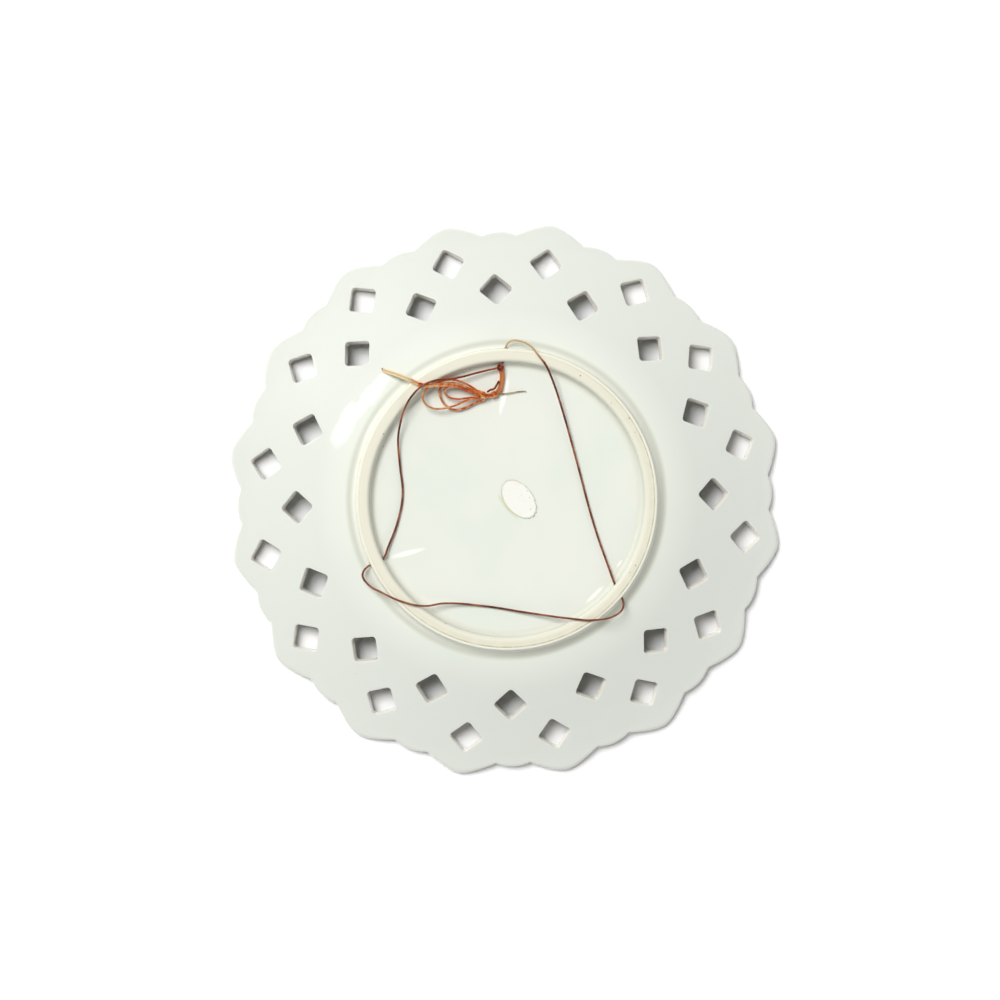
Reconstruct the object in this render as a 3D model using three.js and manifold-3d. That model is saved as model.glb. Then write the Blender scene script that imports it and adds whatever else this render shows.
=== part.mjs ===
// A pierced decorative plate of white glazed ware, lying face down, with the copper wire that it hangs from.
// Millimetres, +Z up. The origin is at the plate's centre, on the surface that its rim lies on, and +Z leaves
// the back.
import * as THREE from "three";
import { mergeVertices } from "three/addons/utils/BufferGeometryUtils.js";
import Module from "manifold-3d";

// Rim and its scalloped edge
const LOBES = 16;
const RIM_RADIUS = 120; // out to a lobe's tip
const NOTCH_DEPTH = 5.8; // from a lobe's tip in to the notch beside it
const BUMP_RISE = 1.4; // how far the small bump between two lobes stands out past its notches
const TIP_ROUNDING = 2.2; // degrees to each side of a lobe's tip that are rounded off
const NOTCH_PLACE = 2 / 3; // share of the way from a lobe's tip to the middle of the next bump
const LOBE_PHASE = 12.8; // degrees from +X to the first lobe's tip
const SCALLOP_BAND = 12; // width of the rim's outer band that follows the scallops
const RIM_WALL = 3.8;
const EDGE_SLOPE = 0.19; // fall of the rim for each millimetre outward, at its edge

// Back of the plate and its foot ring
const PLATE_HEIGHT = 24; // from the rim's edge to the foot ring's crest
const FOOT_OUTER = 64;
const FOOT_INNER = 58.7;
const FOOT_HEIGHT = 4.5; // above the floor of the recess inside it
const CREST_ROUNDING = 1.3;
const FOOT_FILLET = 2.4;
const EASING = 0.25; // share of a rounding by which the foot's inner wall leans
const SHOULDER_RUN = 4.5; // from the foot's outer wall to where the rim begins to fall
const SHOULDER_DROP = 5.6; // from the crest down to the shoulder
const SHOULDER_SLOPE = 0.2;
const CENTRE_WALL = 5;
const WELL_RADIUS = 54; // of the flat middle of the face

// Square piercings, each set corner to corner along its radius and cut square to the sloping rim
const HOLE_SIDE = 10.6;
const HOLE_CORNER = 1;
const OUTER_ROW_INSET = 16.2; // from a lobe's tip in to the outer row
const ROW_STEP = 14.9; // from the outer row in to the inner row
// The holes are cut by hand. For each, from the first lobe on: how far it is off its regular place, in degrees
// round the plate and in millimetres outward, and the degrees by which it is turned.
const OUTER_HOLES = [
  [0.3, -0.1, 7],
  [0.7, 0, 3],
  [0.3, 1.3, 3],
  [0, -1.3, 0],
  [1, 0.1, 4],
  [0.5, 1.6, 3],
  [-0.6, 0.1, 4],
  [1.3, 0.2, -1],
  [0.3, 2, 2],
  [-0.6, 0.7, 1],
  [0.5, -2, 2],
  [0.2, 0, 2],
  [-1.1, -0.7, 0],
  [0.3, -1.3, -4],
  [0.3, -1.2, 5],
  [0.8, 0.9, 7],
];
const INNER_HOLES = [
  [-0.1, 0.2, 0],
  [0.5, 0.7, 4],
  [-0.2, 0.5, 3],
  [-0.6, 0.3, 7],
  [1.3, 1.2, 3],
  [-0.1, 1, -1],
  [-0.9, 0.3, -1],
  [1.6, 1.1, 3],
  [0.6, 0.6, 3],
  [-0.7, 0.8, 1],
  [0.1, -0.8, 5],
  [-0.6, -1.8, 7],
  [-0.4, -0.9, -2],
  [0.3, -0.9, 0],
  [0, -0.5, 2],
  [-0.8, -2.3, 4],
];
const CUT_DEPTH = 4; // depth of a piercing's cutter, in walls

// Wire holes through the foot ring: degrees from +X at the inner and at the outer mouth
const WIRE_HOLES = [
  [92.2, 90.4],
  [205.3, 205.6],
  [322.2, 319.2],
];
const WIRE_HOLE_CLEARANCE = 1.5; // across, beyond the wire's own diameter
const WIRE_HOLE_DROP = 2.5; // from the crest down to the hole's axis
const BORE_LENGTH = 3; // length of a wire hole's cutter, in lengths of the hole

// Oval paper sticker
const STICKER = { x: 5.1, y: 0.2, length: 19.1, width: 11.9, turn: -51, thickness: 0.25 };

// Hanging wire. The third number of each of its places is a height above the foot ring's crest.
const WIRE_DIAMETER = 0.9;
const UPPER_KNOT = { at: [-2.9, 56.0, -2.6], radius: 1.3 };
const LOWER_KNOT = { at: [-5.6, 44.6, -2.8], radius: 1.4 };
const HANK = {
  pinch: [-9.4, 43.7], // middle of the narrow end
  pinchRadius: 1.4,
  loop: [-29.0, 43.7], // middle of the wide end, which leans on the foot ring
  loopRadius: 5.4,
  thickness: 2.6,
  lowest: -4,
  tilt: 8, // degrees that the wide end is raised
};
const TOUCH_GAP = 0.3; // between pieces that lie on or against each other
const SQUARE_END = 0.25; // more room where a wire's square end faces the hank's round side

// From the upper knot out through the top hole, over the ring and across the recess to the lower right hole,
// out and round over the ring to the lower left hole, and in along the ring's left side to the knot again.
const LOOP_ROUTE = [
  [-2.0, 57.7, -2.5],
  [-0.6, 64.6, -2.5],
  [1.0, 66.9, -1.7],
  [4.8, 67.2, -0.3],
  [9.6, 65.1, 0.8],
  [13.4, 60.6, 1.0],
  [16.1, 57.1, 0.9],
  [18.8, 51.5, 0.0],
  [22.3, 41.6, -1.4],
  [29.3, 17.4, -3.3],
  [37.0, -10.8, -3.6],
  [43.4, -29.4, -2.9],
  [45.7, -35.7, -2.5],
  [49.0, -42.1, -2.5],
  [49.3, -45.7, -1.5],
  [46.0, -49.0, 0.1],
  [36.6, -51.0, 1.0],
  [28.0, -50.5, 0.6],
  [8.0, -47.9, -2.6],
  [-9.0, -45.3, -3.7],
  [-26.3, -43.9, -1.3],
  [-35.6, -44.9, 0.8],
  [-44.5, -43.0, 1.0],
  [-52.6, -39.5, 0.2],
  [-59.4, -35.4, -1.7],
  [-61.2, -31.9, -2.4],
  [-60.0, -29.2, -2.5],
  [-52.3, -24.7, -2.5],
  [-50.7, -20.8, -2.9],
  [-46.2, -8.6, -3.7],
  [-44.3, 2.5, -3.8],
  [-45.4, 14.0, -3.5],
  [-46.2, 25.0, -2.1],
  [-45.2, 32.3, -0.4],
  [-43.2, 38.8, 1.0],
  [-40.2, 43.9, 1.8],
  [-35.3, 48.4, 2.2],
  [-29.6, 50.5, 1.4],
  [-21.7, 51.4, -0.2],
  [-11.5, 54.0, -1.7],
];
const PAIR_ROUTE = [
  [-2.2, 52.2, -3.0],
  [-2.4, 49.2, -3.1],
];
const SHORT_END_ROUTE = [
  [1.5, 45.3, -3.6],
  [8.1, 46.1, -3.7],
];
const LONG_END_ROUTE = [
  [-36.2, 48.3, 0.9],
  [-40.6, 50.5, 0.9],
  [-46.2, 52.8, -1.8],
  [-53.0, 55.2, -6.6],
];

// How finely the curved faces are cut into flat ones
const SAMPLES = { fillet: 2, back: 5, lip: 4, face: 4 }; // points along each stretch of the plate's section
const TIP_STOP = 1.25; // from a lobe's tip to the mesh's next point, in tip roundings
const HOLE_CORNER_SEGMENTS = 1;
const BORE_SIDES = 12;
const STICKER_SEGMENTS = 14;
const WIRE_SIDES = 7;
const STEPS_A_POINT = 2; // steps of a tube for each stretch between two points of its route
const KNOT_SEGMENTS = [10, 6];
const HANK_SEGMENTS = 6;
const MERGE_DISTANCE = 1e-4;

const FINISHES = {
  glaze: { color: 0xeef0e8, roughness: 0.18, metalness: 0 },
  paper: { color: 0xf8f6ee, roughness: 0.9, metalness: 0 },
  copper: { color: 0xa8583a, roughness: 0.35, metalness: 1 },
};

const wasm = await Module();
wasm.setup();

const degrees = THREE.MathUtils.degToRad;
const crestHeight = PLATE_HEIGHT;
const floorHeight = PLATE_HEIGHT - FOOT_HEIGHT;
const shoulderHeight = PLATE_HEIGHT - SHOULDER_DROP;
const shoulderRadius = FOOT_OUTER + SHOULDER_RUN;
const period = 360 / LOBES;
const notchAngle = (NOTCH_PLACE * period) / 2;
const scallopStart = RIM_RADIUS - SCALLOP_BAND;
const lipRadius = RIM_WALL / 2;
const edgeNormal = new THREE.Vector2(EDGE_SLOPE, 1).normalize();
const lipCentre = new THREE.Vector2(RIM_RADIUS - lipRadius, lipRadius);
const edgePoint = lipCentre.clone().addScaledVector(edgeNormal, lipRadius);

// The rim's back in section, a cubic from the shoulder to the rounded lip, with a set fall at each end.
const reach = (edgePoint.x - shoulderRadius) / 3;
const backCurve = new THREE.CubicBezierCurve(
  new THREE.Vector2(shoulderRadius, shoulderHeight),
  new THREE.Vector2(shoulderRadius + reach, shoulderHeight - SHOULDER_SLOPE * reach),
  new THREE.Vector2(edgePoint.x - reach, edgePoint.y + EDGE_SLOPE * reach),
  edgePoint,
);

// The radius runs evenly along the cubic, so a place on the back is found straight from its radius.
function backAt(radius) {
  const t = (radius - shoulderRadius) / (edgePoint.x - shoulderRadius);
  const tangent = backCurve.getTangent(t);
  return {
    point: backCurve.getPoint(t),
    normal: new THREE.Vector2(-tangent.y, tangent.x),
    wall: THREE.MathUtils.lerp(CENTRE_WALL, RIM_WALL, t),
  };
}

// The foot ring in section, from the recess's floor over the crest to the shoulder.
function footPath() {
  const path = new THREE.Path();
  path.moveTo(0, floorHeight);
  path.lineTo(FOOT_INNER - FOOT_FILLET, floorHeight);
  path.quadraticCurveTo(
    FOOT_INNER - EASING * FOOT_FILLET,
    floorHeight,
    FOOT_INNER - EASING * CREST_ROUNDING,
    crestHeight - CREST_ROUNDING,
  );
  path.quadraticCurveTo(FOOT_INNER, crestHeight, FOOT_INNER + CREST_ROUNDING, crestHeight);
  path.lineTo(FOOT_OUTER - CREST_ROUNDING, crestHeight);
  path.quadraticCurveTo(FOOT_OUTER, crestHeight, FOOT_OUTER, crestHeight - CREST_ROUNDING);
  path.bezierCurveTo(
    FOOT_OUTER,
    shoulderHeight + FOOT_FILLET / 2,
    FOOT_OUTER + FOOT_FILLET / 2,
    shoulderHeight + SHOULDER_SLOPE * FOOT_FILLET,
    shoulderRadius,
    shoulderHeight,
  );
  return path;
}

// The whole section, from the middle of the face out to the lip and in along the back to the middle again.
function plateProfile() {
  const foot = footPath().getPoints(SAMPLES.fillet);
  const back = backCurve.getPoints(SAMPLES.back).slice(1);
  const start = Math.atan2(edgeNormal.y, edgeNormal.x);
  const lip = Array.from({ length: SAMPLES.lip - 1 }, (_, i) => {
    const angle = start - (Math.PI * (i + 1)) / SAMPLES.lip;
    return new THREE.Vector2(Math.cos(angle), Math.sin(angle)).multiplyScalar(lipRadius).add(lipCentre);
  });
  const face = Array.from({ length: SAMPLES.face + 1 }, (_, i) => {
    const { point, normal, wall } = backAt(
      THREE.MathUtils.lerp(edgePoint.x, shoulderRadius, i / SAMPLES.face),
    );
    return point.addScaledVector(normal, -wall);
  });
  const wellHeight = floorHeight - CENTRE_WALL;
  const well = [new THREE.Vector2(WELL_RADIUS, wellHeight), new THREE.Vector2(0, wellHeight)];
  return [...foot, ...back, ...lip, ...face, ...well].reverse();
}

// Radius of the scalloped edge at an angle, in degrees on from a lobe's tip.
function edgeRadius(angle) {
  const fromTip = Math.min(angle, period - angle);
  const rounded = Math.hypot(fromTip, TIP_ROUNDING) - TIP_ROUNDING;
  const fall = NOTCH_DEPTH / (Math.hypot(notchAngle, TIP_ROUNDING) - TIP_ROUNDING);
  const lobe = RIM_RADIUS - fall * rounded;
  const across = (period / 2 - fromTip) / (period / 2 - notchAngle);
  const bump = RIM_RADIUS - NOTCH_DEPTH + BUMP_RISE * (1 - across ** 2);
  return fromTip < notchAngle ? lobe : bump;
}

// Where a ring of the plate's mesh has its points, in degrees on from each lobe's tip.
const ROUND_STOPS = [0, period / 4, period / 2, (3 * period) / 4];
const SCALLOP_STOPS = [
  0,
  TIP_STOP * TIP_ROUNDING,
  notchAngle,
  (notchAngle + period / 2) / 2,
  period / 2,
  period - (notchAngle + period / 2) / 2,
  period - notchAngle,
  period - TIP_STOP * TIP_ROUNDING,
];

// One ring of the plate's mesh. In the outer band it is moved to the scallops, along the rim's slope.
function ringAt({ x: radius, y: height }) {
  if (radius === 0) return [new THREE.Vector3(0, 0, height)];
  const share = Math.max(0, (radius - scallopStart) / SCALLOP_BAND);
  const stops = share > 0 ? SCALLOP_STOPS : ROUND_STOPS;
  const ring = [];
  for (let lobe = 0; lobe < LOBES; lobe += 1) {
    for (const stop of stops) {
      const shift = share * (edgeRadius(stop) - RIM_RADIUS);
      const angle = degrees(LOBE_PHASE + lobe * period + stop);
      const out = radius + shift;
      const lowered = height - EDGE_SLOPE * shift;
      ring.push(new THREE.Vector3(out * Math.cos(angle), out * Math.sin(angle), lowered));
    }
  }
  return ring;
}

// A closed skin over rings, from one middle point to another. Rings may differ in their number of points.
function skinOver(rings) {
  const index = [];
  let start = 0;
  rings.slice(1).forEach((outer, k) => {
    const inner = rings[k];
    const next = start + inner.length;
    const innerAt = (i) => start + (i % inner.length);
    const outerAt = (j) => next + (j % outer.length);
    let i = 0;
    let j = 0;
    while (i < inner.length || j < outer.length) {
      const innerFirst = (i + 1) / inner.length <= (j + 1) / outer.length;
      const third = innerFirst ? innerAt(i + 1) : outerAt(j + 1);
      if (third !== innerAt(i) && third !== outerAt(j)) index.push(outerAt(j), innerAt(i), third);
      if (innerFirst) i += 1;
      else j += 1;
    }
    start = next;
  });
  const geometry = new THREE.BufferGeometry().setFromPoints(rings.flat());
  geometry.setIndex(index);
  geometry.computeVertexNormals();
  return geometry;
}

// A closed geometry as a solid that can be joined and cut, and back again.
function toSolid(geometry) {
  const bare = geometry.clone();
  bare.deleteAttribute("normal");
  bare.deleteAttribute("uv");
  const merged = mergeVertices(bare, MERGE_DISTANCE);
  return new wasm.Manifold(
    new wasm.Mesh({
      numProp: 3,
      vertProperties: merged.getAttribute("position").array,
      triVerts: new Uint32Array(merged.index.array),
    }),
  );
}

function toGeometry(solid) {
  const { numProp, vertProperties, triVerts } = solid.getMesh();
  const geometry = new THREE.BufferGeometry();
  const points = new Float32Array((vertProperties.length / numProp) * 3);
  for (let i = 0; i < points.length / 3; i += 1) {
    points.set(vertProperties.subarray(i * numProp, i * numProp + 3), 3 * i);
  }
  geometry.setAttribute("position", new THREE.BufferAttribute(points, 3));
  geometry.setIndex(new THREE.BufferAttribute(triVerts, 1));
  geometry.computeVertexNormals();
  return geometry;
}

function roundedSquare(side, corner) {
  const half = side / 2;
  const shape = new THREE.Shape();
  const corners = [
    [1, 1],
    [-1, 1],
    [-1, -1],
    [1, -1],
  ];
  corners.forEach(([x, y], i) => {
    const centre = [x * (half - corner), y * (half - corner)];
    const start = (i * Math.PI) / 2;
    shape.absarc(centre[0], centre[1], corner, start, start + Math.PI / 2);
  });
  return shape;
}

// One piercing's cutter, square to the rim's slope at its row and standing on one corner.
function piercing(row, angle, [along, outward, turn]) {
  const { point, normal, wall } = backAt(row);
  const depth = CUT_DEPTH * wall;
  const cutter = new THREE.ExtrudeGeometry(roundedSquare(HOLE_SIDE, HOLE_CORNER), {
    depth,
    bevelEnabled: false,
    curveSegments: HOLE_CORNER_SEGMENTS,
  });
  const slope = normal.x / normal.y;
  return cutter
    .translate(0, 0, -depth / 2)
    .rotateZ(Math.PI / 4 + degrees(turn))
    .rotateY(Math.atan(slope))
    .translate(row + outward, 0, point.y - slope * outward)
    .rotateZ(degrees(angle + along));
}

// One wire hole's cutter, on a line from its inner to its outer mouth.
function wireHole([inner, outer]) {
  const height = crestHeight - WIRE_HOLE_DROP;
  const mouth = (out, angle) =>
    new THREE.Vector3(out * Math.cos(degrees(angle)), out * Math.sin(degrees(angle)), height);
  const from = mouth(FOOT_INNER, inner);
  const to = mouth(FOOT_OUTER, outer);
  const along = to.clone().sub(from);
  const length = BORE_LENGTH * along.length();
  const radius = (WIRE_DIAMETER + WIRE_HOLE_CLEARANCE) / 2;
  const cutter = new THREE.CylinderGeometry(radius, radius, length, BORE_SIDES);
  const turned = new THREE.Quaternion().setFromUnitVectors(
    new THREE.Vector3(0, 1, 0),
    along.clone().normalize(),
  );
  const middle = from.add(to).multiplyScalar(0.5);
  return cutter.applyQuaternion(turned).translate(middle.x, middle.y, middle.z);
}

function plate() {
  let solid = toSolid(skinOver(plateProfile().map(ringAt)));
  const outerRow = RIM_RADIUS - OUTER_ROW_INSET;
  const innerRow = outerRow - ROW_STEP;
  for (let i = 0; i < LOBES; i += 1) {
    const lobeAngle = LOBE_PHASE + i * period;
    solid = solid.subtract(toSolid(piercing(outerRow, lobeAngle, OUTER_HOLES[i])));
    solid = solid.subtract(toSolid(piercing(innerRow, lobeAngle - period / 2, INNER_HOLES[i])));
  }
  for (const hole of WIRE_HOLES) solid = solid.subtract(toSolid(wireHole(hole)));
  return toGeometry(solid);
}

function sticker() {
  const shape = new THREE.Shape();
  shape.absellipse(0, 0, STICKER.length / 2, STICKER.width / 2, 0, 2 * Math.PI);
  const geometry = new THREE.ExtrudeGeometry(shape, {
    depth: STICKER.thickness,
    bevelEnabled: false,
    curveSegments: STICKER_SEGMENTS,
  });
  return geometry
    .rotateZ(degrees(STICKER.turn))
    .translate(STICKER.x, STICKER.y, floorHeight + TOUCH_GAP);
}

// A smooth curve through a route's points, with its steps spread by the points and not by length.
class Route extends THREE.CatmullRomCurve3 {
  getUtoTmapping(u) {
    return u;
  }
}

function wireAlong(points, diameter) {
  const section = new THREE.Shape(
    Array.from({ length: WIRE_SIDES }, (_, i) => {
      const angle = (2 * Math.PI * i) / WIRE_SIDES;
      return new THREE.Vector2(Math.cos(angle), Math.sin(angle)).multiplyScalar(diameter / 2);
    }),
  );
  const route = new Route(points.map((p) => new THREE.Vector3(...p)));
  const tube = new THREE.ExtrudeGeometry(section, {
    steps: STEPS_A_POINT * (points.length - 1),
    extrudePath: route,
    bevelEnabled: false,
  });
  return tube.translate(0, 0, crestHeight);
}

// The point a touching gap outside a knot, on the side of the point it faces.
function beside(knot, facing) {
  const centre = new THREE.Vector3(...knot.at);
  const out = new THREE.Vector3(...facing).sub(centre).normalize();
  return centre.addScaledVector(out, knot.radius + TOUCH_GAP).toArray();
}

function knot({ at, radius }) {
  const ball = new THREE.SphereGeometry(radius, ...KNOT_SEGMENTS).rotateX(Math.PI / 2);
  return ball.translate(at[0], at[1], crestHeight + at[2]);
}

// The folded hank's outer shape: a narrow and a wide round end with straight sides between.
function hank() {
  const { pinch, pinchRadius, loop, loopRadius, thickness, lowest, tilt } = HANK;
  const length = Math.hypot(loop[0] - pinch[0], loop[1] - pinch[1]);
  const lean = Math.acos((loopRadius - pinchRadius) / length);
  const shape = new THREE.Shape();
  shape.absarc(-length, 0, loopRadius, lean, 2 * Math.PI - lean);
  shape.absarc(0, 0, pinchRadius, -lean, lean);
  const geometry = new THREE.ExtrudeGeometry(shape, {
    depth: thickness,
    bevelEnabled: false,
    curveSegments: HANK_SEGMENTS,
  });
  const turn = Math.atan2(pinch[1] - loop[1], pinch[0] - loop[0]);
  return geometry
    .rotateY(degrees(tilt))
    .rotateZ(turn)
    .translate(pinch[0], pinch[1], crestHeight + lowest);
}

const finishes = Object.fromEntries(
  Object.entries(FINISHES).map(([name, values]) => [name, new THREE.MeshStandardMaterial(values)]),
);
const root = new THREE.Group();

function addPiece(name, geometry, finish) {
  const mesh = new THREE.Mesh(geometry, finishes[finish]);
  mesh.name = name;
  root.add(mesh);
}

const last = (list) => list[list.length - 1];
const loopStart = beside(UPPER_KNOT, LOOP_ROUTE[0]);
const loopEnd = beside(UPPER_KNOT, last(LOOP_ROUTE));
const pairStart = beside(UPPER_KNOT, PAIR_ROUTE[0]);
const pairEnd = beside(LOWER_KNOT, last(PAIR_ROUTE));
const hankEdge = {
  at: [...HANK.loop, LONG_END_ROUTE[0][2]],
  radius: HANK.loopRadius + SQUARE_END,
};

addPiece("plate", plate(), "glaze");
addPiece("oval_sticker", sticker(), "paper");
addPiece("hanging_wire", wireAlong([loopStart, ...LOOP_ROUTE, loopEnd], WIRE_DIAMETER), "copper");
addPiece("upper_knot", knot(UPPER_KNOT), "copper");
addPiece("wire_pair", wireAlong([pairStart, ...PAIR_ROUTE, pairEnd], 2 * WIRE_DIAMETER), "copper");
addPiece("lower_knot", knot(LOWER_KNOT), "copper");
addPiece(
  "short_end",
  wireAlong([beside(LOWER_KNOT, SHORT_END_ROUTE[0]), ...SHORT_END_ROUTE], WIRE_DIAMETER),
  "copper",
);
addPiece("wire_hank", hank(), "copper");
addPiece(
  "long_end",
  wireAlong([beside(hankEdge, LONG_END_ROUTE[0]), ...LONG_END_ROUTE], WIRE_DIAMETER),
  "copper",
);

export default root;
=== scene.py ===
# %% [markdown]
# # A pierced plate and the wire that it hangs from
# This is a lesson in Blender. It dresses a decorative plate that lies face down on a pale floor: white glazed
# ware with a scalloped rim, two rows of hand-cut square piercings and a foot ring, a worn paper label, and a thin
# copper wire threaded through three holes in the ring. The imported model is the fixed frame that all of it is made
# in, and it is loaded first.

# %% The frame
import math

import bmesh
import bpy
from mathutils import Matrix, Vector


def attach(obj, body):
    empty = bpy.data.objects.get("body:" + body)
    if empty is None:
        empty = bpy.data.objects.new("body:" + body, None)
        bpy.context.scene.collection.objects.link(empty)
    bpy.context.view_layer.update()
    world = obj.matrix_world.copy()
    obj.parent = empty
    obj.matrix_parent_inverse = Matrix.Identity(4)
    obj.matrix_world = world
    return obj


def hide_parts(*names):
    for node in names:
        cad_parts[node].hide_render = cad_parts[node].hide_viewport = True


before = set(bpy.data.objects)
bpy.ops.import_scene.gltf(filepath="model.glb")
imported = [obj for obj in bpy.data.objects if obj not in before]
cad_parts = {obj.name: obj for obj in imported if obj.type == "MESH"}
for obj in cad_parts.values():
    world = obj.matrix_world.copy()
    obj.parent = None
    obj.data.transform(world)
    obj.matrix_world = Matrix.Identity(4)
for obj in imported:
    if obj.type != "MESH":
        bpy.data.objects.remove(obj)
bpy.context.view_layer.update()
print("nodes:", sorted(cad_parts))

# %% [markdown]
# ## Helpers
# Everything is measured in millimetres, as a maker would, and turned to metres where Blender is handed a point.
# Colours are written as web colours and turned to Blender's linear values by one function. One more function adds
# a node to a tree with its settings, and feeds its sockets. Where a node is given as an input, its first output in
# use is read.

# %% Helpers
MM = 0.001
# The kinds of node that are used most. A range takes a value, the two numbers that it runs between, and the two that
# are given for them, or 0 and 1.
MATHS, VECTORS, MIX, RANGE = "ShaderNodeMath", "ShaderNodeVectorMath", "ShaderNodeMix", "ShaderNodeMapRange"
SPLIT, COMBINE, ROTATE = "ShaderNodeSeparateXYZ", "ShaderNodeCombineXYZ", "ShaderNodeVectorRotate"
NOISE, MOVE = "ShaderNodeTexNoise", "GeometryNodeSetPosition"


def metres(points):
    return [Vector(point) * MM for point in points]


def linear(hex_colour):
    """A web colour such as #c8643c as the linear red, green, blue and alpha that shaders take."""
    parts = [int(hex_colour[i:i + 2], 16) / 255 for i in (1, 3, 5)]
    return [v / 12.92 if v <= 0.04045 else ((v + 0.055) / 1.055) ** 2.4 for v in parts] + [1.0]


def feed(tree, node, inputs):
    """Feeds a node's inputs in use, by place or by name, with values, sockets or nodes; None leaves one alone."""
    in_use = [socket for socket in node.inputs if socket.enabled]
    for key, value in inputs.items() if isinstance(inputs, dict) else enumerate(inputs):
        into = in_use[key] if isinstance(key, int) else node.inputs[key]
        if isinstance(value, bpy.types.Node):
            value = next(socket for socket in value.outputs if socket.enabled)
        if isinstance(value, bpy.types.NodeSocket):
            tree.links.new(value, into)
        elif value is not None:
            into.default_value = value
    return node


def put(tree, kind, inputs=(), **settings):
    """Adds a node with its settings, and feeds it."""
    node = tree.nodes.new(kind)
    for name, value in settings.items():
        setattr(node, name, value)
    return feed(tree, node, inputs)


def add_object(name, data):
    item = bpy.data.objects.new(name, data)
    bpy.context.scene.collection.objects.link(item)
    return item


print("white glaze in linear values:", [round(v, 3) for v in linear("#eef0e8")])

# %% [markdown]
# ## The camera
# The photograph looks almost straight down from about a metre above the plate, a little from the left, with the
# top wire hole at the top of the picture. A camera that looks down has no natural up, so its three axes are built
# by hand: the way it looks, then the picture's right and up.

# %% The camera
CAMERA_AT = (-35.0, 8.0, 1000.0)
CAMERA_LOOKS_AT = (-2.3, -0.35, 0.0)
LENS = 83.1

camera_data = bpy.data.cameras.new("camera")
camera_data.lens = LENS
camera_data.sensor_width = 36.0
camera_data.clip_start, camera_data.clip_end = 0.05, 20.0
camera = add_object("camera", camera_data)
ahead = (Vector(CAMERA_LOOKS_AT) - Vector(CAMERA_AT)).normalized()
right = ahead.cross(Vector((0, 1, 0))).normalized()
axes = Matrix((right, right.cross(ahead), -ahead)).transposed()
camera.matrix_world = Matrix.Translation(Vector(CAMERA_AT) * MM) @ axes.to_4x4()
bpy.context.scene.camera = camera
print("camera looks down at", round(math.degrees(math.asin(-ahead.z)), 1), "degrees")

# %% [markdown]
# ## The hanging wire
# One length of thin copper-coloured wire, 0.9 mm thick. It leaves a knot by the top hole, crosses the recess to the
# lower right hole, comes over the ring, and goes by way of the lower left hole back to the knot. A wire is a fixed
# length of something bendy, so it is a curve with a round section, drawn through chosen points. The points of the
# long loop are those of the CAD part. The curve passes through each of them smoothly.

# %% The wire's material
WIRE_DIAMETER = 0.9


def copper(name, bright, dull, dark, roughness, patch, tints=()):
    """Drawn copper wire that has browned in patches. A tint is a spot, its full and outer reach, colour and share."""
    material = bpy.data.materials.new(name)
    material.use_nodes = True
    tree = material.node_tree
    shader = tree.nodes["Principled BSDF"]
    place = put(tree, "ShaderNodeTexCoord").outputs["Object"]
    browned = put(tree, NOISE, {"Vector": place, "Scale": 1 / (patch * MM), "Detail": 3.0, "Roughness": 0.6})
    colour = put(tree, "ShaderNodeValToRGB", [browned])
    ramp = colour.color_ramp
    ramp.elements[0].position, ramp.elements[0].color = 0.36, linear(dark)
    ramp.elements[1].position, ramp.elements[1].color = 0.66, linear(bright)
    ramp.elements.new(0.5).color = linear(dull)
    for spot, full, none, tint, share in tints:
        away = put(tree, VECTORS, [place, Vector(spot) * MM], operation="DISTANCE")
        near = put(tree, RANGE, [away, none * MM, full * MM, 0, share])
        colour = put(tree, MIX, [near, colour, linear(tint)], data_type="RGBA")
    # Hair-fine die marks, drawn at 0.12 mm so that they show at all.
    marks = put(tree, NOISE, {"Vector": place, "Scale": 1 / (0.12 * MM)})
    bump = put(tree, "ShaderNodeBump", {"Height": marks, "Strength": 0.15, "Distance": 0.02 * MM})
    feed(tree, shader, {"Base Color": colour, "Metallic": 0.5, "Roughness": roughness, "Normal": bump})
    return material


browned_copper = copper("drawn_copper_browned", "#b97c5c", "#8c523c", "#643325", 0.38, 9.0, [
    ((-14.0, 48.5, 23.0), 13.0, 25.0, "#a8482a", 0.5), ((-2.5, 49.5, 21.0), 4.0, 7.0, "#ee8e48", 0.9),
    ((7.0, 66.0, 23.0), 7.0, 12.0, "#dbbd92", 0.95)])
bright_copper = copper("drawn_copper_bright", "#ffdfaa", "#f28c48", "#c05c26", 0.3, 2.4, [
    ((-19.0, 45.0, 22.0), 3.0, 8.0, "#cc4f18", 0.55), ((-32.0, 41.0, 23.5), 3.0, 9.0, "#d9a878", 0.6),
    ((-50.0, 54.0, 20.0), 10.0, 15.0, "#efdcae", 0.92), ((-53.6, 55.6, 17.2), 0.7, 1.7, "#4c463e", 1.0)])
# Dark copper for the upper knot and the stub; the upper knot lies in the foot ring's shadow, so its dark colour is
# partly painted shade.
dark_copper = copper("drawn_copper_blackened", "#a44a26", "#84331a", "#551f10", 0.4, 1.5)
# The short end's pale tone is partly a painted highlight.
pale_copper = copper("drawn_copper_pale", "#e6dcbc", "#c2ad80", "#8d7448", 0.4, 5.0)
print("materials:", browned_copper.name, bright_copper.name, dark_copper.name, pale_copper.name)

# %% The wire as a curve


def wire(name, points, diameter, material, end_share=1.0):
    """One open spline through the points, smooth and round, whose far end may be thinner than its start."""
    data = bpy.data.curves.new(name, "CURVE")
    data.dimensions = "3D"
    data.resolution_u = 6
    data.bevel_depth = diameter / 2 * MM
    data.bevel_resolution = 4
    data.use_fill_caps = True
    spline = data.splines.new("BEZIER")
    spline.bezier_points.add(len(points) - 1)
    for number, (knot_point, place) in enumerate(zip(spline.bezier_points, metres(points))):
        knot_point.co = place
        knot_point.radius = 1 + (end_share - 1) * number / (len(points) - 1)
        knot_point.handle_left_type = knot_point.handle_right_type = "AUTO"
    data.materials.append(material)
    return add_object(name, data)


def length_of(item):
    """The length of a curve's own line, in metres."""
    return item.data.splines[0].calc_length()


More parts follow.
